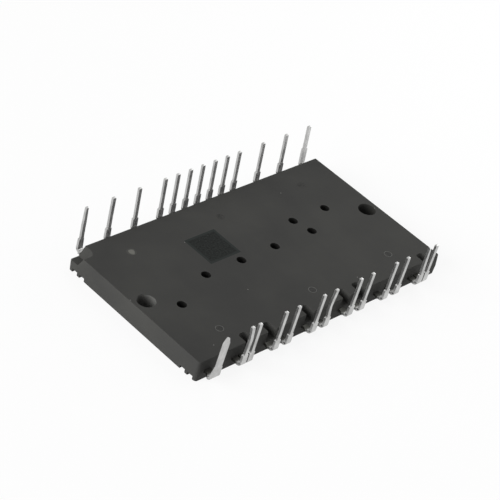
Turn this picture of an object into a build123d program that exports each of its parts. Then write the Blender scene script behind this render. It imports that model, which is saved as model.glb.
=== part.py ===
from build123d import *
import math
import os

# A dual in-line power module, moulded in black epoxy round a stamped lead frame. It lies on its
# heat-sink face, z = 0, with both rows of terminals bent up past the marking face. x runs along
# the long side, y from the front row to the back row. All sizes are in millimetres.

# Moulded body
body_length = 79.0
body_width = 43.4
body_thickness = 5.4
parting_height = 2.4
mould_draft = 4.0
back_corner_radius = 0.3
front_corner_radius = 0.9
notch_length = 3.75
notch_width = 3.9
notch_slope = 28.0
notch_radius = 1.8
notch_corner_radius = 0.4

# Mounting holes, one near each end
mounting_inset = 3.5
mounting_hole_diameter = 4.5

# Creepage slots in the upper half of the front edge: the front terminal to the left of each, and
# the distance from that terminal. Slots and notch leave a skin of epoxy over the lead frame.
slot_numbers = (3, 4, 6, 8, 9, 13)
slot_offsets = (2.25, 1.25, 1.35, 1.35, 2.5, 3.3)
slot_width = 2.3
slot_depth = 3.1
slot_end_radius = 0.8
slot_mouth_radius = 0.7
floor_skin = 0.15

# Lengthwise grooves in the heat-sink face, two beside each long edge
groove_centres = (17.2, 19.7)
groove_width = 1.6
groove_depth = 0.9

# Blind holes that the mould's support pins left in the marking face
support_holes = (
    (-29.65, -4.8),
    (-17.55, 0.4),
    (-6.35, 0.4),
    (4.6, 0.4),
    (15.6, 5.45),
    (17.05, 0.4),
    (26.55, 5.45),
)
support_hole_diameter = 2.4
support_hole_depth = 1.8

# Terminals: one grid for both rows, counted from each row's left end
grid = 2.0
back_row_start = -34.5
back_row_steps = (4, 4, 4, 2, 2, 2, 2, 2, 2, 4, 4, 4)
front_row_start = -36.5
front_row_steps = (4, 1, 4, 2, 4, 2, 4, 2, 4, 2, 4, 1)
lead_thickness = 0.65
terminal_width = 0.9
foot_width = 1.6
foot_height = 5.35
high_foot_height = 7.2
bend_radius = 0.4
tip_clearance = 3.0
back_foot_clearance = 2.3
front_foot_clearance = 2.55
terminal_height = 13.85
tip_taper = 0.6
tip_edge_chamfer = 0.2
shoulder_slant = 0.12
stub_length = 0.3
stub_width = 0.6
stub_gap = 0.9
lead_overlap = 1.0

# Flared root of the first front terminal, where the frame's rail was cut off. It leaves the
# body narrow, widens to its full foot and carries a broad pin with a sharp point.
flare_left = 1.8
flare_right = 0.95
flare_neck = 0.95
flare_start = 0.7
flare_end = 1.9
flare_tip_width = 1.5
flare_tip_shift = 0.35
flare_point_width = 0.15

# Terminals that are bent sideways: row and number, height of the kink, shift at the kink,
# shift at the tip and shift at the foot
bent_terminals = {
    ("front", 2): (9.8, 0.25, -0.25, 0.0),
    ("front", 7): (8.8, -0.55, 0.0, 0.0),
    ("front", 12): (9.6, -0.35, -0.75, 0.0),
    ("back", 1): (9.0, -0.15, 0.2, -0.45),
    ("back", 2): (9.0, -0.05, 0.1, -0.2),
}

# Heat spreader under the lead frame, bare on the heat-sink face
spreader_length = 62.0
spreader_width = 28.0
spreader_thickness = 1.4
spreader_rim = 1.0
spreader_rim_thickness = 0.7
spreader_corner_radius = 1.5

# Lead-frame pads inside the moulding, and the fingers that the wires reach
finger_reach = 15.0
finger_head_width = 2.4
finger_head_length = 2.0
close_head_width = 1.6
output_post_reach = 12.8
output_post_margin = 0.8
common_pad_margin = 2.8
common_pad_width = 11.6
common_pad_front = 0.0
common_arm_front = 8.6
phase_pad_width = 7.0
phase_pad_front = 0.4
phase_pad_back = 12.4
emitter_post_reach = 1.2
emitter_post_length = 2.2
emitter_post_width = 3.0
driver_pad_length = 5.6
driver_pad_width = 4.8
driver_pad_reach = 6.4
driver_pad_shift = 0.7
low_driver_pad_length = 6.6
low_driver_pad_width = 5.2
low_driver_pad_reach = 5.4

# Semiconductor dies and driver circuits on the pads
die_thickness = 0.3
switch_die_size = 4.8
diode_die_size = 3.4
high_switch_row = 3.2
high_diode_row = 8.9
low_switch_row = 9.2
low_diode_row = 3.1
driver_length = 3.6
driver_width = 2.6
low_driver_length = 4.6
low_driver_width = 3.0
driver_land_share = 1 / 3

# Bond wires, modelled with flat sides
power_wire_radius = 0.2
power_wire_sides = 6
power_wire_spacing = 1.1
power_wire_lift = 0.3
power_wire_rise = 0.9
power_wire_foot_offset = 0.5
control_wire_radius = 0.06
control_wire_sides = 6
control_wire_lift = 0.15
control_wire_rise = 0.5
gate_inset = 0.7

lead_bottom = parting_height - lead_thickness / 2
lead_top = parting_height + lead_thickness / 2
die_top = lead_top + die_thickness
floor_height = lead_top + floor_skin
wall = body_width / 2
end = body_length / 2
root = wall - lead_overlap
tip_distance = wall + tip_clearance
mounting_pitch = body_length - 2 * mounting_inset


def row_places(start, steps):
    """Places of a row's terminals along x, from its first place and its steps on the grid."""
    places = [start]
    for step in steps:
        places.append(places[-1] + step * grid)
    return places


back_places = row_places(back_row_start, back_row_steps)
front_places = row_places(front_row_start, front_row_steps)
rows = {
    "back": (1, back_places, wall + back_foot_clearance),
    "front": (-1, front_places, wall + front_foot_clearance),
}
slot_centres = [
    front_places[number - 1] + offset for number, offset in zip(slot_numbers, slot_offsets)
]

# What each terminal of the back row carries: the common pad, the three high-side outputs, the
# low-side driver and the three phase pads. The rest end in plain fingers.
common_number = 1
output_numbers = (2, 3, 4)
low_driver_number = 7
phase_numbers = (10, 11, 12)
# In the front row three terminals carry the high-side drivers and three the low-side emitters.
driver_numbers = (3, 4, 6)
emitter_numbers = (10, 11, 12)

output_places = [back_places[number - 1] for number in output_numbers]
phase_places = [back_places[number - 1] for number in phase_numbers]
driver_places = [front_places[number - 1] + driver_pad_shift for number in driver_numbers]
low_driver_place = back_places[low_driver_number - 1]
driver_row = -(driver_pad_reach + driver_pad_width / 2)
low_driver_row = low_driver_pad_reach + low_driver_pad_width / 2
common_pad_left = output_places[0] - switch_die_size / 2 - common_pad_margin
common_pad_right = output_places[-1] + switch_die_size / 2 + common_pad_margin
os.makedirs("parts", exist_ok=True)


def frame_shapes(row, number, place):
    """Rectangles (x0, x1, y0, y1) of a terminal's flat part inside the body."""
    half = foot_width / 2
    side = rows[row][0]

    def strip(reach):
        near, far = sorted((side * reach, side * (root + lead_overlap)))
        return (place - half, place + half, near, far)

    if row == "back" and number == common_number:
        back = common_pad_front + common_pad_width
        pad = (common_pad_left, common_pad_right, common_pad_front, back)
        arm = (place - half, common_pad_left, common_arm_front, back)
        return [pad, arm, strip(common_arm_front)]
    if row == "back" and number in phase_numbers:
        half_pad = phase_pad_width / 2
        pad = (place - half_pad, place + half_pad, phase_pad_front, phase_pad_back)
        return [pad, strip(phase_pad_back)]
    if row == "back" and number == low_driver_number:
        half_pad = low_driver_pad_length / 2
        pad_back = low_driver_pad_reach + low_driver_pad_width
        pad = (place - half_pad, place + half_pad, low_driver_pad_reach, pad_back)
        return [pad, strip(pad_back)]
    if row == "front" and number in driver_numbers:
        centre = place + driver_pad_shift
        half_pad = driver_pad_length / 2
        pad_front = -(driver_pad_reach + driver_pad_width)
        pad = (centre - half_pad, centre + half_pad, pad_front, -driver_pad_reach)
        return [pad, strip(-pad_front)]
    if row == "front" and number in emitter_numbers:
        target = phase_places[emitter_numbers.index(number)]
        left = min(target, place) - emitter_post_width / 2
        right = max(target, place) + emitter_post_width / 2
        post_front = -(emitter_post_reach + emitter_post_length)
        post = (left, right, post_front, -emitter_post_reach)
        return [post, strip(-post_front)]
    reach = finger_reach
    head = finger_head_width
    if row == "back" and number in output_numbers:
        reach = output_post_reach
        head = power_wire_spacing + output_post_margin
    if min_gap(row, number) < finger_head_width:
        head = close_head_width
    near, far = sorted((side * reach, side * (reach + finger_head_length)))
    return [(place - head / 2, place + head / 2, near, far), strip(reach)]


def min_gap(row, number):
    """Distance from a terminal to its nearest neighbour in its row."""
    places = rows[row][1]
    here = places[number - 1]
    return min(abs(other - here) for other in places if other != here)


# Terminals: stamped from sheet, bent up beside the body, with a wide foot, a narrow pin and the
# stubs of the cut dam bar. The part inside the moulding is flat.
terminals = []
for row, (side, places, foot_distance) in rows.items():
    slope = (tip_distance - foot_distance) / (terminal_height - parting_height)
    reach_out = lead_thickness / 2 * math.sqrt(1 + slope**2)
    low_y = foot_distance + slope * (lead_bottom - parting_height)
    high_y = foot_distance + slope * (lead_top - parting_height)
    for number, place in enumerate(places, start=1):
        flared = (row, number) == ("front", 1)
        bend = bent_terminals.get((row, number), (terminal_height / 2, 0.0, 0.0, 0.0))
        kink_height, kink_shift, tip_shift, foot_shift = bend
        foot_top = foot_height
        if (row, number) == ("back", 13):
            foot_top = high_foot_height
        pin = terminal_width / 2
        tip_pin = pin
        left = foot_width / 2
        right = foot_width / 2
        if flared:
            pin = flare_tip_width / 2
            tip_pin = flare_point_width / 2
            left = flare_left
            right = flare_right
            kink_height = terminal_height - flare_tip_width
            kink_shift = flare_tip_shift / 2
            tip_shift = flare_tip_shift
        flare_shoulder = pin + shoulder_slant if flared else left
        tip_cut = tip_taper * tip_pin

        with BuildPart() as terminal:
            with BuildSketch(Plane.YZ.offset(place - left + foot_shift)) as strip_section:
                with BuildLine():
                    FilletPolyline(
                        (side * root, lead_bottom),
                        (side * (low_y + reach_out), lead_bottom),
                        (side * (tip_distance + reach_out), terminal_height - tip_edge_chamfer),
                        (side * (tip_distance + reach_out - tip_edge_chamfer), terminal_height),
                        (side * (tip_distance - reach_out + tip_edge_chamfer), terminal_height),
                        (side * (tip_distance - reach_out), terminal_height - tip_edge_chamfer),
                        (side * (high_y - reach_out), lead_top),
                        (side * root, lead_top),
                        radius=(0, bend_radius + lead_thickness, 0, 0, 0, 0, bend_radius, 0),
                        close=True,
                    )
                make_face()
            extrude(amount=left + right)
            # Front outline: foot, shoulders and pin, with the bends of a damaged one
            with BuildSketch(Plane.XZ) as front_outline:
                with BuildLine():
                    Polyline(
                        (place + foot_shift - left, 0),
                        (place + foot_shift - left, lead_top),
                        (place + foot_shift / 2 - flare_shoulder, foot_top),
                        (place + foot_shift / 2 - pin, foot_top + shoulder_slant),
                        (place + kink_shift - pin, kink_height),
                        (place + tip_shift - tip_pin, terminal_height - tip_cut),
                        (place + tip_shift - tip_pin + tip_cut, terminal_height),
                        (place + tip_shift + tip_pin - tip_cut, terminal_height),
                        (place + tip_shift + tip_pin, terminal_height - tip_cut),
                        (place + kink_shift + pin, kink_height),
                        (place + foot_shift / 2 + pin, foot_top + shoulder_slant),
                        (place + foot_shift / 2 + right, foot_top),
                        (place + foot_shift + right, 0),
                        close=True,
                    )
                make_face()
            extrude(amount=2 * tip_distance, both=True, mode=Mode.INTERSECT)
            if flared:
                # Plan of the flare, from its narrow neck at the body to its full foot
                with BuildSketch(Plane.XY) as flare_plan:
                    with BuildLine():
                        Polyline(
                            (place - flare_neck, side * root),
                            (place - flare_neck, side * (wall + flare_start)),
                            (place - flare_left, side * (wall + flare_end)),
                            (place - flare_left, side * 2 * wall),
                            (place + flare_right, side * 2 * wall),
                            (place + flare_right, side * root),
                            close=True,
                        )
                    make_face()
                extrude(amount=terminal_height, mode=Mode.INTERSECT)
            with BuildSketch(Plane.XY.offset(lead_bottom)) as flat_part:
                for x0, x1, y0, y1 in frame_shapes(row, number, place):
                    with Locations(((x0 + x1) / 2, (y0 + y1) / 2)):
                        Rectangle(x1 - x0, y1 - y0)
                if min_gap(row, number) > foot_width + 2 * stub_length + stub_gap:
                    with Locations((place + foot_shift, side * (wall + stub_gap + stub_width / 2))):
                        Rectangle(foot_width + 2 * stub_length, stub_width)
            extrude(amount=lead_thickness)
        terminal.part.label = f"{row}_terminal_{number}"
        terminals.append(terminal.part)

# Switch and diode dies, three pairs on the common pad and one pair on each phase pad
dies = []
phases = ("u", "v", "w")
for phase, high_x, low_x in zip(phases, output_places, phase_places):
    places = {
        f"high_switch_die_{phase}": (high_x, high_switch_row, switch_die_size),
        f"high_diode_die_{phase}": (high_x, high_diode_row, diode_die_size),
        f"low_switch_die_{phase}": (low_x, low_switch_row, switch_die_size),
        f"low_diode_die_{phase}": (low_x, low_diode_row, diode_die_size),
    }
    for name, (die_x, die_y, size) in places.items():
        with BuildPart() as die:
            with BuildSketch(Plane.XY.offset(lead_top)):
                with Locations((die_x, die_y)):
                    Rectangle(size, size)
            extrude(amount=die_thickness)
        die.part.label = name
        dies.append(die.part)

# Driver circuits, one for each high-side switch and one for the low side
driver_sizes = {
    f"high_driver_{phase}": (x, driver_row, driver_length, driver_width)
    for phase, x in zip(phases, driver_places)
}
driver_sizes["low_driver"] = (
    low_driver_place,
    low_driver_row,
    low_driver_length,
    low_driver_width,
)
for name, (driver_x, driver_y, length, width) in driver_sizes.items():
    with BuildPart() as driver:
        with BuildSketch(Plane.XY.offset(lead_top)):
            with Locations((driver_x, driver_y)):
                Rectangle(length, width)
        extrude(amount=die_thickness)
    driver.part.label = name
    dies.append(driver.part)

# Aluminium power wires: from each switch to its diode, and from the diode to its post
wires = []
output_post_row = output_post_reach + finger_head_length / 2
emitter_post_row = -(emitter_post_reach + emitter_post_length / 2)
wire_places = {}
for phase, high_x, low_x in zip(phases, output_places, phase_places):
    wire_places[f"high_power_wires_{phase}"] = (
        high_x,
        high_switch_row,
        high_diode_row,
        output_post_row,
    )
    wire_places[f"low_power_wires_{phase}"] = (
        low_x,
        low_switch_row,
        low_diode_row,
        emitter_post_row,
    )
for name, (wire_x, switch_y, diode_y, post_y) in wire_places.items():
    toward = math.copysign(power_wire_foot_offset, post_y - switch_y)
    spans = (
        (switch_y + 2 * toward, diode_y - toward / 2, die_top, die_top),
        (diode_y + toward / 2, post_y, die_top, lead_top),
    )
    with BuildPart() as power_wires:
        for x in (wire_x - power_wire_spacing / 2, wire_x + power_wire_spacing / 2):
            for start_y, end_y, start_z, end_z in spans:
                with BuildLine() as loop:
                    Polyline(
                        (x, start_y, start_z),
                        (x, start_y, start_z + power_wire_lift),
                        (x, (start_y + end_y) / 2, die_top + power_wire_rise),
                        (x, end_y, end_z + power_wire_lift),
                        (x, end_y, end_z),
                    )
                with BuildSketch(Plane((x, start_y, start_z))):
                    RegularPolygon(power_wire_radius, power_wire_sides)
                sweep(path=loop.line, transition=Transition.RIGHT)
    power_wires.part.label = name
    wires.append(power_wires.part)

# Fine gold wires: from each driver to its switch's gate and to the terminals beside it
gate_row = high_switch_row - switch_die_size / 2 + gate_inset
control_ends = {}
for phase, driver_x, switch_x in zip(phases, driver_places, output_places):
    number = driver_numbers[phases.index(phase)]
    neighbour = front_places[number] if phase != "u" else front_places[number - 2]
    land = math.copysign(driver_length * driver_land_share, neighbour - driver_x)
    control_ends[f"high_control_wires_{phase}"] = (
        (driver_x, driver_row + driver_width * driver_land_share, switch_x, gate_row, die_top),
        (
            driver_x + land,
            driver_row - driver_width * driver_land_share,
            neighbour,
            -(finger_reach + finger_head_length / 2),
            lead_top,
        ),
    )
low_ends = []
for neighbour in (back_places[low_driver_number - 2], back_places[low_driver_number]):
    land = math.copysign(low_driver_length * driver_land_share, neighbour - low_driver_place)
    low_ends.append((
        low_driver_place + land,
        low_driver_row + low_driver_width * driver_land_share,
        neighbour,
        finger_reach + finger_head_length / 2,
        lead_top,
    ))
control_ends["low_control_wires"] = low_ends
for name, ends in control_ends.items():
    with BuildPart() as control_wires:
        for start_x, start_y, end_x, end_y, end_z in ends:
            with BuildLine() as loop:
                Polyline(
                    (start_x, start_y, die_top),
                    (start_x, start_y, die_top + control_wire_lift),
                    ((start_x + end_x) / 2, (start_y + end_y) / 2, die_top + control_wire_rise),
                    (end_x, end_y, end_z + control_wire_lift),
                    (end_x, end_y, end_z),
                )
            with BuildSketch(Plane((start_x, start_y, die_top))):
                RegularPolygon(control_wire_radius, control_wire_sides)
            sweep(path=loop.line, transition=Transition.RIGHT)
    control_wires.part.label = name
    wires.append(control_wires.part)

# Heat spreader: a plate whose rim the moulding grips, so its bare face is a little smaller
with BuildPart() as heat_spreader:
    with BuildSketch(Plane.XY):
        RectangleRounded(
            spreader_length - 2 * spreader_rim,
            spreader_width - 2 * spreader_rim,
            spreader_corner_radius,
        )
    extrude(amount=spreader_thickness)
    with BuildSketch(Plane.XY.offset(spreader_thickness)):
        RectangleRounded(spreader_length, spreader_width, spreader_corner_radius + spreader_rim)
    extrude(amount=-spreader_rim_thickness)
heat_spreader.part.label = "heat_spreader"

# Moulded body: two drafted halves that meet at the parting line, moulded over all of the above
with BuildPart() as moulded_body:
    with BuildSketch(Plane.XY.offset(parting_height)) as outline:
        Rectangle(body_length, body_width)
        fillet(outline.vertices().filter_by(lambda v: v.Y < 0), front_corner_radius)
        fillet(outline.vertices().sort_by(lambda v: v.Y - v.X)[-1], notch_corner_radius)
        fillet(outline.vertices().sort_by(lambda v: v.X + v.Y)[-1], back_corner_radius)
    extrude(amount=body_thickness - parting_height, taper=mould_draft)
    extrude(to_extrude=outline.sketch, amount=-parting_height, taper=mould_draft)

    # Notch with sloping walls that marks the first terminal's corner, in the upper half only
    with BuildSketch(Plane.XY.offset(body_thickness)) as notch:
        with Locations((-end, wall)):
            Rectangle(2 * notch_length, 2 * notch_width)
        fillet(notch.vertices().sort_by(lambda v: v.X - v.Y)[-1], notch_radius)
    extrude(amount=floor_height - body_thickness, taper=notch_slope, mode=Mode.SUBTRACT)

    # Creepage slots between front terminals, cut in from the open side with rounded mouths
    with BuildSketch(Plane.XY.offset(floor_height)) as slots:
        with Locations((0, -wall - slot_depth / 2)):
            Rectangle(body_length + 2 * slot_width, slot_depth)
        for slot_x in slot_centres:
            with Locations((slot_x, -wall)):
                Rectangle(slot_width, 2 * slot_depth)
        fillet(slots.vertices().filter_by(lambda v: v.Y > slot_mouth_radius - wall), slot_end_radius)
        mouths = slots.vertices().filter_by(lambda v: abs(v.Y + wall) < floor_skin and abs(v.X) < end)
        fillet(mouths, slot_mouth_radius)
    extrude(amount=body_thickness, mode=Mode.SUBTRACT)

    # Grooves along the heat-sink face
    with BuildSketch(Plane.XY) as grooves:
        for groove_y in groove_centres:
            with Locations((0, groove_y), (0, -groove_y)):
                Rectangle(body_length + grid, groove_width)
    extrude(amount=groove_depth, mode=Mode.SUBTRACT)

    # Mounting holes
    with Locations(Plane.XY.offset(body_thickness)):
        with GridLocations(mounting_pitch, 0, 2, 1):
            Hole(mounting_hole_diameter / 2)

    # Blind holes in the marking face
    with BuildSketch(Plane.XY.offset(body_thickness - support_hole_depth)):
        with Locations(*support_holes):
            Circle(support_hole_diameter / 2)
    extrude(amount=body_thickness, mode=Mode.SUBTRACT)

    # The epoxy flows round everything inside it
    add([*terminals, *dies, *wires, heat_spreader.part], mode=Mode.SUBTRACT)
moulded_body.part.label = "moulded_body"

for piece in [moulded_body.part, heat_spreader.part, *terminals, *dies, *wires]:
    export_step(piece, f"parts/{piece.label}.step")
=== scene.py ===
import math

import bpy
from mathutils import Matrix, Vector


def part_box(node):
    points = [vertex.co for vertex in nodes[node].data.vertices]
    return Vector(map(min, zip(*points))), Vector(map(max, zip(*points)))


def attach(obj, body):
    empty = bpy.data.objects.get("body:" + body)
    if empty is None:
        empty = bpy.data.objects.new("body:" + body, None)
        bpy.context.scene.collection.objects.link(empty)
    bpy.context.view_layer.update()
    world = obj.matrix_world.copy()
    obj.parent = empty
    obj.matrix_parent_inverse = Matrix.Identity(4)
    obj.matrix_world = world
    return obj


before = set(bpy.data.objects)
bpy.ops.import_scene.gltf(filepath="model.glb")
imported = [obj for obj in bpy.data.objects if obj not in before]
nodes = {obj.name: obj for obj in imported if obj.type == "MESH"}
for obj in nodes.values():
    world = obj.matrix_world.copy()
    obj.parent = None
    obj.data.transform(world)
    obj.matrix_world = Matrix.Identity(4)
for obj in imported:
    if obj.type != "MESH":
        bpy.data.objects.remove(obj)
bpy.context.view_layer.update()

# Camera: a long lens from the front left, well above the module, held a little askew. Its place is
# measured from a point just left of the marking face's centre, across the picture and up it, and
# along the view.
millimetre = 0.001
view_azimuth = math.radians(-52.69)
view_elevation = math.radians(36.28)
view_roll = math.radians(15.50)
view_distance = 455.33 * millimetre
view_right = 2.653 * millimetre
view_up = -0.710 * millimetre
aim_shift = -0.25 * millimetre
nearest_seen = 10 * millimetre
focal_pixels = 1972
image_pixels = 500
sensor_width = 36.0

back = Vector((
    math.sin(view_azimuth) * math.cos(view_elevation),
    -math.cos(view_azimuth) * math.cos(view_elevation),
    math.sin(view_elevation),
))
level_right = (-back).cross(Vector((0, 0, 1))).normalized()
level_up = level_right.cross(-back)
right = level_right * math.cos(view_roll) + level_up * math.sin(view_roll)
up = level_up * math.cos(view_roll) - level_right * math.sin(view_roll)
face_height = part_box("moulded_body")[1].z
place = Vector((aim_shift, 0, face_height)) + back * view_distance
place -= right * view_right + up * view_up
camera_data = bpy.data.cameras.new("camera")
camera_data.sensor_width = sensor_width
camera_data.lens = focal_pixels / image_pixels * sensor_width
camera_data.clip_start = nearest_seen
camera = bpy.data.objects.new("camera", camera_data)
camera.matrix_world = Matrix.Translation(place) @ Matrix((right, up, back)).transposed().to_4x4()
bpy.context.scene.collection.objects.link(camera)
bpy.context.scene.camera = camera


# Heat spreader: a rolled aluminium plate whose bare face is the middle of the module's underside.
# It is blanked from strip and moulded in, so it keeps its mill finish.
rolling_lines = 0.35 * millimetre
rolling_depth = 0.01 * millimetre
line_stretch = 25


def linear(code):
    """A colour written as sRGB hex, as linear red, green, blue and alpha."""
    parts = [int(code[i:i + 2], 16) / 255 for i in (1, 3, 5)]
    return [c / 12.92 if c <= 0.04045 else ((c + 0.055) / 1.055) ** 2.4 for c in parts] + [1.0]


def add_node(tree, kind, settings=None, inputs=None):
    """Adds a node with its settings, and sets or links its inputs."""
    made = tree.nodes.new(kind)
    for name, value in (settings or {}).items():
        setattr(made, name, value)
    for name, value in (inputs or {}).items():
        if isinstance(value, bpy.types.NodeSocket):
            tree.links.new(value, made.inputs[name])
        else:
            made.inputs[name].default_value = value
    return made


def start_material(name):
    """A new material of this name, with its node tree and its shader."""
    material = bpy.data.materials.new(name)
    material.use_nodes = True
    return material, material.node_tree, material.node_tree.nodes["Principled BSDF"]


def dress(piece, material):
    """Gives a piece this material alone."""
    piece.data.materials.clear()
    piece.data.materials.append(material)


# Rolled aluminium: pale and slightly streaked along the strip, with a soft broken shine. The real
# rolling lines are too fine to show, so they are drawn coarser.
rolled_aluminium, tree, shader = start_material("rolled_aluminium")
where = add_node(tree, "ShaderNodeTexCoord")
along = add_node(tree, "ShaderNodeMapping", inputs={
    "Vector": where.outputs["Object"],
    "Scale": (1 / line_stretch / rolling_lines, 1 / rolling_lines, 1 / rolling_lines),
})
streaks = add_node(tree, "ShaderNodeTexNoise", inputs={
    "Vector": along.outputs["Vector"], "Scale": 1.0, "Detail": 4.0, "Roughness": 0.6,
})
shade = add_node(tree, "ShaderNodeValToRGB", inputs={"Fac": streaks.outputs["Fac"]})
shade.color_ramp.elements[0].position = 0.3
shade.color_ramp.elements[0].color = linear("#b4b5b6")
shade.color_ramp.elements[1].position = 0.7
shade.color_ramp.elements[1].color = linear("#cfd0d1")
dulling = add_node(tree, "ShaderNodeMapRange", inputs={
    "Value": streaks.outputs["Fac"], "To Min": 0.3, "To Max": 0.45,
})
relief = add_node(tree, "ShaderNodeBump", inputs={
    "Height": streaks.outputs["Fac"], "Strength": 0.25, "Distance": rolling_depth,
})
tree.links.new(shade.outputs["Color"], shader.inputs["Base Color"])
tree.links.new(dulling.outputs["Result"], shader.inputs["Roughness"])
tree.links.new(relief.outputs["Normal"], shader.inputs["Normal"])
shader.inputs["Metallic"].default_value = 1.0
dress(nodes["heat_spreader"], rolled_aluminium)


# Terminals: stamped from copper strip, tinned, and bent up after moulding. Their cut edges are
# rounded a little by the die, and the narrow pins pass through a board.
die_roll = 0.09 * millimetre
die_angle = math.radians(40)
seam_gap = 0.001 * millimetre
tin_grain = 0.25 * millimetre
grain_depth = 0.01 * millimetre
rub_length = 2.5 * millimetre
wall_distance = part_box("moulded_body")[1].y
painted_shade_reach = 1.7 * millimetre
painted_shade_edge = 0.8 * millimetre


def ease_edges(piece, radius, least_angle):
    """Joins the seams of a mesh and rounds its edges that turn by more than an angle."""
    joined = piece.modifiers.new("joined_seams", "WELD")
    joined.merge_threshold = seam_gap
    eased = piece.modifiers.new("eased_edges", "BEVEL")
    eased.width = radius
    eased.segments = 2
    eased.limit_method = "ANGLE"
    eased.angle_limit = least_angle
    eased.harden_normals = True


# Matte tin: a light grey metal with a fine crystal grain, dulled in patches where it was handled.
# The real grain is too fine to show, so it is drawn much coarser. In the front row the tin beside
# the wall is painted dark with a ragged edge, as painted shade where the feet's shelves lie in
# shadow.
matte_tin, tree, shader = start_material("matte_tin")
where = add_node(tree, "ShaderNodeTexCoord")
grain = add_node(tree, "ShaderNodeTexNoise", inputs={
    "Vector": where.outputs["Object"], "Scale": 1 / tin_grain, "Detail": 3.0,
})
rubs = add_node(tree, "ShaderNodeTexNoise", inputs={
    "Vector": where.outputs["Object"], "Scale": 1 / rub_length, "Detail": 2.0,
})
shade = add_node(tree, "ShaderNodeValToRGB", inputs={"Fac": rubs.outputs["Fac"]})
shade.color_ramp.elements[0].position = 0.35
shade.color_ramp.elements[0].color = linear("#b0b0af")
shade.color_ramp.elements[1].position = 0.65
shade.color_ramp.elements[1].color = linear("#c5c5c4")
dulling = add_node(tree, "ShaderNodeMapRange", inputs={
    "Value": grain.outputs["Fac"], "From Min": 0.3, "From Max": 0.7, "To Min": 0.36, "To Max": 0.5,
})
# Painted shade: a ragged band of the front row's tin beside the wall is mixed towards dark grey.
axes = add_node(tree, "ShaderNodeSeparateXYZ", inputs={"Vector": where.outputs["Object"]})
to_front = add_node(tree, "ShaderNodeMath", {"operation": "MULTIPLY"}, {
    0: axes.outputs["Y"], 1: -1.0,
})
ragged = add_node(tree, "ShaderNodeMath", {"operation": "MULTIPLY_ADD"}, {
    0: grain.outputs["Fac"], 1: painted_shade_edge, 2: to_front.outputs[0],
})
from_wall = add_node(tree, "ShaderNodeMath", {"operation": "SUBTRACT"}, {
    0: ragged.outputs[0], 1: wall_distance,
})
off_wall = add_node(tree, "ShaderNodeMath", {"operation": "ABSOLUTE"}, {0: from_wall.outputs[0]})
painted_shelf_shade = add_node(tree, "ShaderNodeMapRange", inputs={
    "Value": off_wall.outputs[0],
    "From Min": painted_shade_reach,
    "From Max": painted_shade_reach + painted_shade_edge,
    "To Min": 1.0,
    "To Max": 0.0,
})
# A colour mix takes its share at input 0 and its colours at 6 and 7, and gives the mix at output 2.
tin_with_painted_shade = add_node(tree, "ShaderNodeMix", {"data_type": "RGBA"}, {
    0: painted_shelf_shade.outputs["Result"], 6: shade.outputs["Color"], 7: linear("#454542"),
})
relief = add_node(tree, "ShaderNodeBump", inputs={
    "Height": grain.outputs["Fac"], "Strength": 0.3, "Distance": grain_depth,
})
tree.links.new(tin_with_painted_shade.outputs[2], shader.inputs["Base Color"])
tree.links.new(dulling.outputs["Result"], shader.inputs["Roughness"])
tree.links.new(relief.outputs["Normal"], shader.inputs["Normal"])
shader.inputs["Metallic"].default_value = 1.0
for name, piece in nodes.items():
    if "terminal" in name:
        dress(piece, matte_tin)
        ease_edges(piece, die_roll, die_angle)


# Dies and driver circuits: polished silicon plates soldered to the pads inside the moulding.
# Nothing of them shows from outside.
cell_pitch = 0.4 * millimetre

# Polished silicon: dark blue grey with an even cell pattern and a mirror-like face. The real cells
# are too fine to show, so they are drawn much coarser.
polished_silicon, tree, shader = start_material("polished_silicon")
where = add_node(tree, "ShaderNodeTexCoord")
cells = add_node(tree, "ShaderNodeTexVoronoi", inputs={
    "Vector": where.outputs["Object"], "Scale": 1 / cell_pitch, "Randomness": 0.0,
})
shade = add_node(tree, "ShaderNodeValToRGB", inputs={"Fac": cells.outputs["Distance"]})
shade.color_ramp.elements[0].color = linear("#3c4254")
shade.color_ramp.elements[1].color = linear("#5d6478")
tree.links.new(shade.outputs["Color"], shader.inputs["Base Color"])
shader.inputs["Metallic"].default_value = 0.6
shader.inputs["Roughness"].default_value = 0.18
for name, piece in nodes.items():
    if "die" in name or "driver" in name:
        dress(piece, polished_silicon)


# Bond wires: drawn aluminium for the power paths and fine gold for the control paths, pressed
# on cold. They too are sealed inside.
wire_mottle = 0.2 * millimetre

# Drawn aluminium: pale, and a little uneven in tone from the drawing die.
# Drawn gold: warm yellow, smooth and bright.
for kind, metal, dark, light, rough in (
    ("power_wires", "drawn_aluminium", "#bcbdbf", "#d6d7d8", 0.3),
    ("control_wires", "drawn_gold", "#d9a540", "#efc766", 0.2),
):
    drawn_metal, tree, shader = start_material(metal)
    where = add_node(tree, "ShaderNodeTexCoord")
    mottle = add_node(tree, "ShaderNodeTexNoise", inputs={
        "Vector": where.outputs["Object"], "Scale": 1 / wire_mottle, "Detail": 2.0,
    })
    shade = add_node(tree, "ShaderNodeValToRGB", inputs={"Fac": mottle.outputs["Fac"]})
    shade.color_ramp.elements[0].color = linear(dark)
    shade.color_ramp.elements[1].color = linear(light)
    tree.links.new(shade.outputs["Color"], shader.inputs["Base Color"])
    shader.inputs["Metallic"].default_value = 1.0
    shader.inputs["Roughness"].default_value = rough
    for name, piece in nodes.items():
        if kind in name:
            dress(piece, drawn_metal)


# Moulded body: black epoxy filled with silica, pressed into a spark-eroded steel mould, which
# leaves a fine matte texture. The mould's pins leave small holes and shallow round marks.
mould_corner = 0.12 * millimetre
mould_angle = math.radians(35)
spark_texture = 0.16 * millimetre
spark_depth = 0.02 * millimetre
flow_length = 14 * millimetre
fleck_radius = 0.13 * millimetre
fleck_core = 0.5 * fleck_radius
fleck_distance = 24 * millimetre
rim_depth = 0.1 * millimetre
holes_off_middle = 12 * millimetre
screw_hole_place = 36 * millimetre
screw_hole_reach = 2.4 * millimetre
pin_holes_reach = 30 * millimetre
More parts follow.
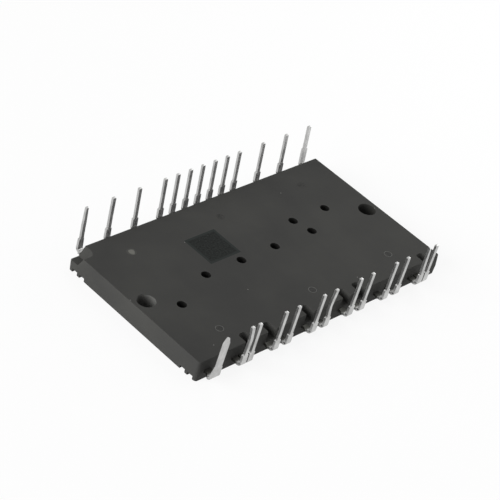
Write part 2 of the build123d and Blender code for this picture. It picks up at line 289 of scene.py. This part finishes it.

# Filled epoxy: dark neutral grey with faint slow clouds from the flow of the filler and a few pale
# flecks of bare silica. The rough spark-eroded skin takes nearly all of its shine, and is drawn
# coarser than the real one, which is too fine to show. Light and shade are painted on the hole
# walls: the support pins' holes are painted black and the right screw hole dark, as painted shade,
# and the left screw hole pale, as painted light falling on its walls.
filled_epoxy, tree, shader = start_material("filled_epoxy")
where = add_node(tree, "ShaderNodeTexCoord")
clouds = add_node(tree, "ShaderNodeTexNoise", inputs={
    "Vector": where.outputs["Object"], "Scale": 1 / flow_length, "Detail": 3.0,
})
shade = add_node(tree, "ShaderNodeValToRGB", inputs={"Fac": clouds.outputs["Fac"]})
shade.color_ramp.elements[0].position = 0.3
shade.color_ramp.elements[0].color = linear("#3a3a39")
shade.color_ramp.elements[1].position = 0.7
shade.color_ramp.elements[1].color = linear("#41413f")
spots = add_node(tree, "ShaderNodeTexVoronoi", {"voronoi_dimensions": "2D"}, {
    "Vector": where.outputs["Object"], "Scale": 1 / fleck_distance,
})
flecks = add_node(tree, "ShaderNodeMapRange", inputs={
    "Value": spots.outputs["Distance"],
    "From Min": fleck_core / fleck_distance,
    "From Max": fleck_radius / fleck_distance,
    "To Min": 1.0,
    "To Max": 0.0,
})
moulded = add_node(tree, "ShaderNodeMix", {"data_type": "RGBA"}, {
    0: flecks.outputs["Result"], 6: shade.outputs["Color"], 7: linear("#929290"),
})
# Painted light and shade: painted light on the left screw hole's walls, and painted shade in the
# support pins' holes and the right screw hole.
axes = add_node(tree, "ShaderNodeSeparateXYZ", inputs={"Vector": where.outputs["Object"]})
between_faces = add_node(tree, "ShaderNodeMath", {"operation": "COMPARE"}, {
    0: axes.outputs["Z"], 1: face_height / 2, 2: face_height / 2 - rim_depth,
})
near_middle = add_node(tree, "ShaderNodeMath", {"operation": "COMPARE"}, {
    0: axes.outputs["Y"], 1: 0.0, 2: holes_off_middle,
})
on_walls = add_node(tree, "ShaderNodeMath", {"operation": "MULTIPLY"}, {
    0: between_faces.outputs[0], 1: near_middle.outputs[0],
})
for code, middle, reach in (
    ("#5a5a58", -screw_hole_place, screw_hole_reach),
    ("#191918", 0.0, pin_holes_reach),
    ("#2f2f2d", screw_hole_place, screw_hole_reach),
):
    near = add_node(tree, "ShaderNodeMath", {"operation": "COMPARE"}, {
        0: axes.outputs["X"], 1: middle, 2: reach,
    })
    painted_hole_shading = add_node(tree, "ShaderNodeMath", {"operation": "MULTIPLY"}, {
        0: on_walls.outputs[0], 1: near.outputs[0],
    })
    moulded = add_node(tree, "ShaderNodeMix", {"data_type": "RGBA"}, {
        0: painted_hole_shading.outputs[0], 6: moulded.outputs[2], 7: linear(code),
    })
pits = add_node(tree, "ShaderNodeTexNoise", inputs={
    "Vector": where.outputs["Object"], "Scale": 1 / spark_texture, "Detail": 2.0,
})
relief = add_node(tree, "ShaderNodeBump", inputs={
    "Height": pits.outputs["Fac"], "Strength": 0.35, "Distance": spark_depth,
})
tree.links.new(moulded.outputs[2], shader.inputs["Base Color"])
tree.links.new(relief.outputs["Normal"], shader.inputs["Normal"])
shader.inputs["Roughness"].default_value = 0.75
shader.inputs["IOR"].default_value = 1.55
shader.inputs["Specular IOR Level"].default_value = 0.1
dress(nodes["moulded_body"], filled_epoxy)
ease_edges(nodes["moulded_body"], mould_corner, mould_angle)


# Ejector marks: the ends of the mould's ejector pins, printed in the marking face as shallow
# discs with a fine raised ring of flash. One of them is painted pale, as painted light.
ejector_radius = 1.05 * millimetre
pale_mark_radius = 1.25 * millimetre
pale_mark_fade_radius = 1.3 * pale_mark_radius
smear_length = 0.5 * ejector_radius
flash_width = 0.2 * millimetre
flash_height = 0.035 * millimetre
flash_foot = 0.3 * flash_height
flash_crest = 0.6 * flash_height
skin = 0.004 * millimetre
ring_steps = 48
pale_mark_places = [(-27.65 * millimetre, 14.8 * millimetre)]
plain_places = [
    (0.35 * millimetre, 15.0 * millimetre),
    (27.75 * millimetre, 15.0 * millimetre),
    (-27.6 * millimetre, -15.1 * millimetre),
    (1.2 * millimetre, -15.7 * millimetre),
    (27.75 * millimetre, -15.05 * millimetre),
]


def lay_on_face(name, outline_rings, places):
    """A thin skin on the marking face: rings of points from the rim inwards, at several places."""
    points = []
    faces = []
    for place_x, place_y in places:
        first = len(points)
        count = len(outline_rings[0])
        for ring in outline_rings:
            for x, y, height in ring:
                points.append((place_x + x, place_y + y, face_height + height))
        for row in range(len(outline_rings) - 1):
            for i in range(count):
                near = first + row * count
                j = (i + 1) % count
                faces.append((near + i, near + j, near + count + j, near + count + i))
        inner = first + (len(outline_rings) - 1) * count
        faces.append(tuple(inner + i for i in range(count)))
    mesh = bpy.data.meshes.new(name)
    mesh.from_pydata(points, [], faces)
    piece = bpy.data.objects.new(name, mesh)
    bpy.context.scene.collection.objects.link(piece)
    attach(piece, "root")
    return piece


marks = []
for name, outer, places in (
    ("rubbed_ejector_mark", pale_mark_radius, pale_mark_places),
    ("ejector_marks", ejector_radius, plain_places),
):
    mark_rings = []
    for radius, height in (
        (outer, 0.0), (outer - flash_width / 2, flash_height), (outer - flash_width, skin),
    ):
        mark_rings.append([
            (
                radius * math.cos(2 * math.pi * i / ring_steps),
                radius * math.sin(2 * math.pi * i / ring_steps),
                height,
            )
            for i in range(ring_steps)
        ])
    marks.append(lay_on_face(name, mark_rings, places))
pale_mark, plain_marks = marks

# Marks with painted shade and highlight: the same epoxy, painted darker on the discs as painted
# shade. On the front marks the flash ring is painted pale as a painted highlight.
shade_and_highlight_epoxy, tree, shader = start_material("shade_and_highlight_epoxy")
where = add_node(tree, "ShaderNodeTexCoord")
axes = add_node(tree, "ShaderNodeSeparateXYZ", inputs={"Vector": where.outputs["Object"]})
smears = add_node(tree, "ShaderNodeTexNoise", inputs={
    "Vector": where.outputs["Object"], "Scale": 1 / smear_length, "Detail": 3.0,
})
# Painted shade: the discs are darker than the face.
shade = add_node(tree, "ShaderNodeValToRGB", inputs={"Fac": smears.outputs["Fac"]})
shade.color_ramp.elements[0].position = 0.35
shade.color_ramp.elements[0].color = linear("#2e2e2d")
shade.color_ramp.elements[1].position = 0.65
shade.color_ramp.elements[1].color = linear("#3b3b39")
# Painted highlight: the flash ring of the front marks is painted pale.
on_flash = add_node(tree, "ShaderNodeMapRange", inputs={
    "Value": axes.outputs["Z"],
    "From Min": face_height + flash_foot,
    "From Max": face_height + flash_crest,
})
in_front = add_node(tree, "ShaderNodeMath", {"operation": "LESS_THAN"}, {
    0: axes.outputs["Y"], 1: 0.0,
})
front_flash_highlight = add_node(tree, "ShaderNodeMath", {"operation": "MULTIPLY"}, {
    0: on_flash.outputs["Result"], 1: in_front.outputs[0],
})
with_painted_highlight = add_node(tree, "ShaderNodeMix", {"data_type": "RGBA"}, {
    0: front_flash_highlight.outputs[0], 6: shade.outputs["Color"], 7: linear("#636361"),
})
tree.links.new(with_painted_highlight.outputs[2], shader.inputs["Base Color"])
shader.inputs["Roughness"].default_value = 0.6
shader.inputs["Specular IOR Level"].default_value = 0.1
dress(plain_marks, shade_and_highlight_epoxy)

# Painted light on one mark: the same epoxy, painted pale grey in the middle of the disc, ragged.
painted_light_epoxy, tree, shader = start_material("painted_light_epoxy")
where = add_node(tree, "ShaderNodeTexCoord")
pale_mottle = add_node(tree, "ShaderNodeTexNoise", inputs={
    "Vector": where.outputs["Object"], "Scale": 1 / pale_mark_radius, "Detail": 4.0,
})
from_middle = add_node(tree, "ShaderNodeVectorMath", {"operation": "DISTANCE"}, {
    0: where.outputs["Object"], 1: (*pale_mark_places[0], face_height),
})
ragged = add_node(tree, "ShaderNodeMath", {"operation": "MULTIPLY_ADD"}, {
    0: pale_mottle.outputs["Fac"], 1: pale_mark_radius, 2: from_middle.outputs["Value"],
})
# Painted light: the middle of this disc is painted pale grey, fading to the dark skin at its edge.
painted_light_share = add_node(tree, "ShaderNodeMapRange", inputs={
    "Value": ragged.outputs[0], "From Min": pale_mark_radius, "From Max": pale_mark_fade_radius,
})
shade = add_node(tree, "ShaderNodeValToRGB", inputs={"Fac": painted_light_share.outputs["Result"]})
shade.color_ramp.elements[0].color = linear("#6a6a65")
shade.color_ramp.elements[1].color = linear("#424240")
tree.links.new(shade.outputs["Color"], shader.inputs["Base Color"])
shader.inputs["Roughness"].default_value = 0.6
shader.inputs["Specular IOR Level"].default_value = 0.1
dress(pale_mark, painted_light_epoxy)


# Marking field: the square on the face that a laser has scanned over, left bare. The beam leaves
# the resin darker and a touch greener. It is laid on the face as a skin a few micrometres thick.
field_side = 9.5 * millimetre
field_place = (-9.11 * millimetre, 7.42 * millimetre)
field_corner = 0.25 * millimetre
field_rim = 0.8 * millimetre
rim_blend = 0.32 * millimetre
scan_texture = 0.45 * millimetre
scan_depth = 0.02 * millimetre
half = field_side / 2
field_rings = [
    [
        (sign_x * reach, sign_y * reach, height)
        for sign_x, sign_y in ((-1, -1), (1, -1), (1, 1), (-1, 1))
    ]
    for reach, height in ((half, 0.0), (half - field_corner, skin))
]
marking_field = lay_on_face("marking_field", field_rings, [field_place])

# Scanned epoxy: darker and slightly green, mottled by the burnt filler, rougher than the skin, and
# evener along the rim, where the beam passed once only.
scanned_epoxy, tree, shader = start_material("scanned_epoxy")
where = add_node(tree, "ShaderNodeTexCoord")
burn = add_node(tree, "ShaderNodeTexNoise", inputs={
    "Vector": where.outputs["Object"], "Scale": 1 / scan_texture, "Detail": 3.0, "Roughness": 0.6,
})
shade = add_node(tree, "ShaderNodeValToRGB", inputs={"Fac": burn.outputs["Fac"]})
shade.color_ramp.elements[0].position = 0.35
shade.color_ramp.elements[0].color = linear("#191b1a")
shade.color_ramp.elements[1].position = 0.65
shade.color_ramp.elements[1].color = linear("#2b2d2c")
axes = add_node(tree, "ShaderNodeSeparateXYZ", inputs={"Vector": where.outputs["Object"]})
offsets = []
for axis, middle in zip("XY", field_place):
    to_side = add_node(tree, "ShaderNodeMath", {"operation": "SUBTRACT"}, {
        0: axes.outputs[axis], 1: middle,
    })
    offsets.append(add_node(tree, "ShaderNodeMath", {"operation": "ABSOLUTE"}, {
        0: to_side.outputs[0],
    }))
off_middle = add_node(tree, "ShaderNodeMath", {"operation": "MAXIMUM"}, {
    0: offsets[0].outputs[0], 1: offsets[1].outputs[0],
})
on_rim = add_node(tree, "ShaderNodeMapRange", inputs={
    "Value": off_middle.outputs[0],
    "From Min": half - field_rim,
    "From Max": half - field_rim + rim_blend,
})
scanned = add_node(tree, "ShaderNodeMix", {"data_type": "RGBA"}, {
    0: on_rim.outputs["Result"], 6: shade.outputs["Color"], 7: linear("#2c2f2e"),
})
relief = add_node(tree, "ShaderNodeBump", inputs={
    "Height": burn.outputs["Fac"], "Strength": 0.4, "Distance": scan_depth,
})
tree.links.new(scanned.outputs[2], shader.inputs["Base Color"])
tree.links.new(relief.outputs["Normal"], shader.inputs["Normal"])
shader.inputs["Roughness"].default_value = 0.8
shader.inputs["Specular IOR Level"].default_value = 0.1
dress(marking_field, scanned_epoxy)


# Floor: a plain white sheet of paper under the module. It lies a hair below the heat-sink face
# and reaches far past the picture.
floor_reach = 3000 * millimetre
floor_gap = 0.02 * millimetre
shadow_share = 0.12
floor_mesh = bpy.data.meshes.new("floor")
corners = [(x * floor_reach, y * floor_reach, 0) for x, y in ((-1, -1), (1, -1), (1, 1), (-1, 1))]
floor_mesh.from_pydata(corners, [], [(0, 1, 2, 3)])
floor = bpy.data.objects.new("floor", floor_mesh)
floor.location.z = -floor_gap
bpy.context.scene.collection.objects.link(floor)


def seen_directly(tree):
    """One for rays that come from the camera, a reflection or a refraction, and zero for others."""
    rays = add_node(tree, "ShaderNodeLightPath")
    reflected = add_node(tree, "ShaderNodeMath", {"operation": "MAXIMUM"}, {
        0: rays.outputs["Is Camera Ray"], 1: rays.outputs["Is Glossy Ray"],
    })
    return add_node(tree, "ShaderNodeMath", {"operation": "MAXIMUM"}, {
        0: reflected.outputs[0], 1: rays.outputs["Is Transmission Ray"],
    }).outputs[0]


# Pale paper sheet: even and without shine. It is a shade under white in the light that it throws
# back on the module, and plain white to the eye, with a faint shadow of the module.
pale_sheet, tree, shader = start_material("pale_sheet")
seen = seen_directly(tree)
paper = add_node(tree, "ShaderNodeMix", {"data_type": "RGBA"}, {
    0: seen, 6: linear("#f2f2f2"), 7: linear("#ffffff"),
})
tree.links.new(paper.outputs[2], shader.inputs["Base Color"])
shader.inputs["Roughness"].default_value = 0.95
shader.inputs["Specular IOR Level"].default_value = 0.0
glow = add_node(tree, "ShaderNodeEmission")
share = add_node(tree, "ShaderNodeMath", {"operation": "MULTIPLY"}, {0: seen, 1: 1 - shadow_share})
blend = add_node(tree, "ShaderNodeMixShader", inputs={
    0: share.outputs[0], 1: shader.outputs["BSDF"], 2: glow.outputs["Emission"],
})
tree.links.new(blend.outputs["Shader"], tree.nodes["Material Output"].inputs["Surface"])
dress(floor, pale_sheet)


# Studio light: a white tent all round, which gives little light itself, a large panel low on the
# left, which brightens the left end and leaves no glare on the tin, two weaker ones in front and
# on the right, and a lamp above, a little to the right, which lights the marking face.
tent_light = 0.2
world = bpy.data.worlds.new("tent")
world.use_nodes = True
bpy.context.scene.world = world
tree = world.node_tree
ambience = tree.nodes["Background"]
level = add_node(tree, "ShaderNodeMapRange", inputs={
    "Value": seen_directly(tree), "To Min": tent_light, "To Max": 1.0,
})
tree.links.new(level.outputs["Result"], ambience.inputs["Strength"])
ambience.inputs["Color"].default_value = linear("#ffffff")

# Each lamp: its direction (right, back, up), its distance, its width and height in metres, the
# light it gives on a face turned to it, where one renders a colour as it is written, and whether
# it shows in reflections.
for name, direction, distance, width, height, light, reflected in (
    ("left_panel", (-0.92, 0.25, 0.36), 1.2, 1.0, 0.8, 1.45, False),
    ("front_panel", (0.2, -0.95, 0.3), 0.45, 0.5, 0.2, 0.14, True),
    ("right_panel", (0.9, -0.3, 0.12), 0.35, 0.3, 0.2, 0.54, True),
    ("top_lamp", (0.6, 0.1, 0.8), 0.28, 0.2, 0.2, 0.24, True),
):
    lamp_data = bpy.data.lights.new(name, "AREA")
    lamp_data.shape = "RECTANGLE"
    lamp_data.size = width
    lamp_data.size_y = height
    lamp_data.energy = light * math.pi**2 * distance**2
    lamp = bpy.data.objects.new(name, lamp_data)
    toward = Vector(direction).normalized()
    lamp.location = toward * distance
    lamp.rotation_euler = toward.to_track_quat("Z", "Y").to_euler()
    lamp.visible_glossy = reflected
    bpy.context.scene.collection.objects.link(lamp)

bpy.context.scene.view_settings.view_transform = "Standard"
